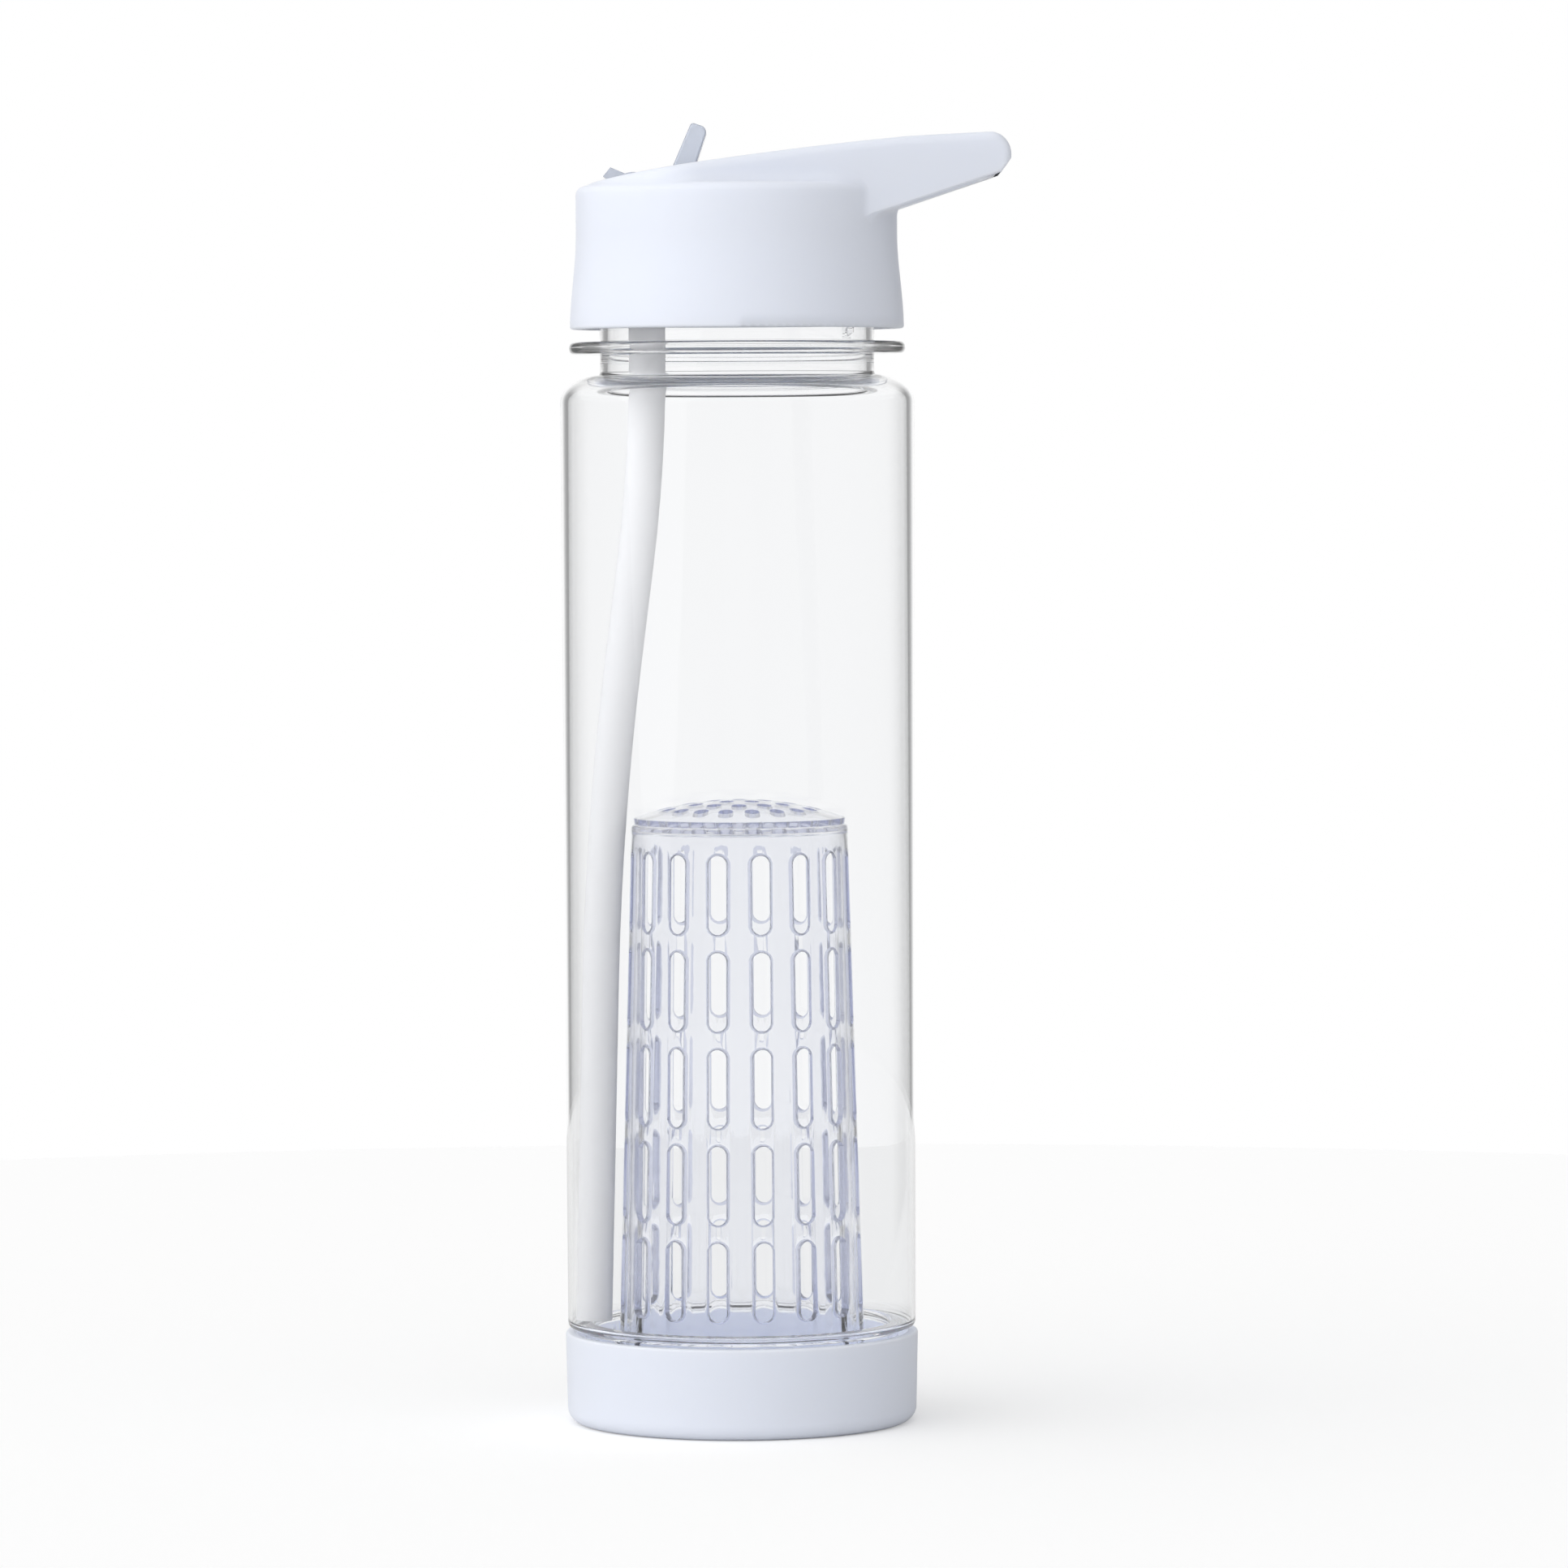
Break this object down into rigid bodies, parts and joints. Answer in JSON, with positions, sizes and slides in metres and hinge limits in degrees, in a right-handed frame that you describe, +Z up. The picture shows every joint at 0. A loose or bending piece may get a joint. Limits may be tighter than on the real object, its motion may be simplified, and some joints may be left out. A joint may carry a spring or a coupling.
{
  "type": "fruit infuser water bottle",
  "caption": "Clear bottle with a screw lid, carry loop, flip spout and straw, and a screw base that holds a slotted fruit basket.",
  "frame": {"origin": "centre of the foot ring on the surface that the bottle stands on, on the bottle's axis", "axes": "+Z up along the bottle's axis, +X towards the end of the carry loop, +Y to the back"},
  "size_m": [0.0903, 0.071, 0.2608],
  "materials": {
    "white_plastic": "satin",
    "clear_plastic": "clear gloss",
    "frosted_plastic": "translucent satin",
    "straw_plastic": "translucent satin",
    "silicone": "matte"
  },
  "bodies": {
    "bottle": {"bottle_body": "clear_plastic"},
    "lid_thread": {"lid_gasket": "silicone"},
    "lid": {"lid_cap": "white_plastic", "spout_seal": "silicone", "straw": "straw_plastic", "vent_valve": "silicone"},
    "spout": {"flip_spout": "frosted_plastic"},
    "base_thread": {"base_gasket": "silicone"},
    "base": {"base_cup": "white_plastic"},
    "basket": {"infuser_basket": "clear_plastic"}
  },
  "joints": [
    {"name": "lid_rise", "type": "slide", "parent": "bottle", "child": "lid_thread", "axis": [0, 0, 1], "range_m": [0, 0.005]},
    {"name": "lid_turn", "type": "hinge", "parent": "lid_thread", "child": "lid", "pos_m": [0, 0, 0.2372], "axis": [0, 0, 1], "range_deg": [0, 450]},
    {"name": "spout_flip", "type": "hinge", "parent": "lid", "child": "spout", "pos_m": [-0.0205, 0, 0.2459], "axis": [0, -1, 0], "range_deg": [0, 90]},
    {"name": "base_drop", "type": "slide", "parent": "bottle", "child": "base_thread", "axis": [0, 0, -1], "range_m": [0, 0.005]},
    {"name": "base_turn", "type": "hinge", "parent": "base_thread", "child": "base", "pos_m": [0, 0, 0.0028], "axis": [0, 0, -1], "range_deg": [0, 450]},
    {"name": "basket_turn", "type": "hinge", "parent": "base", "child": "basket", "pos_m": [0, 0, 0.0028], "axis": [0, 0, 1], "range_deg": [0, 60]}
  ],
  "couplings": [
    {"joint": "lid_rise", "follows": "lid_turn", "m_per_rad": 0.000636},
    {"joint": "base_drop", "follows": "base_turn", "m_per_rad": 0.000636}
  ]
}
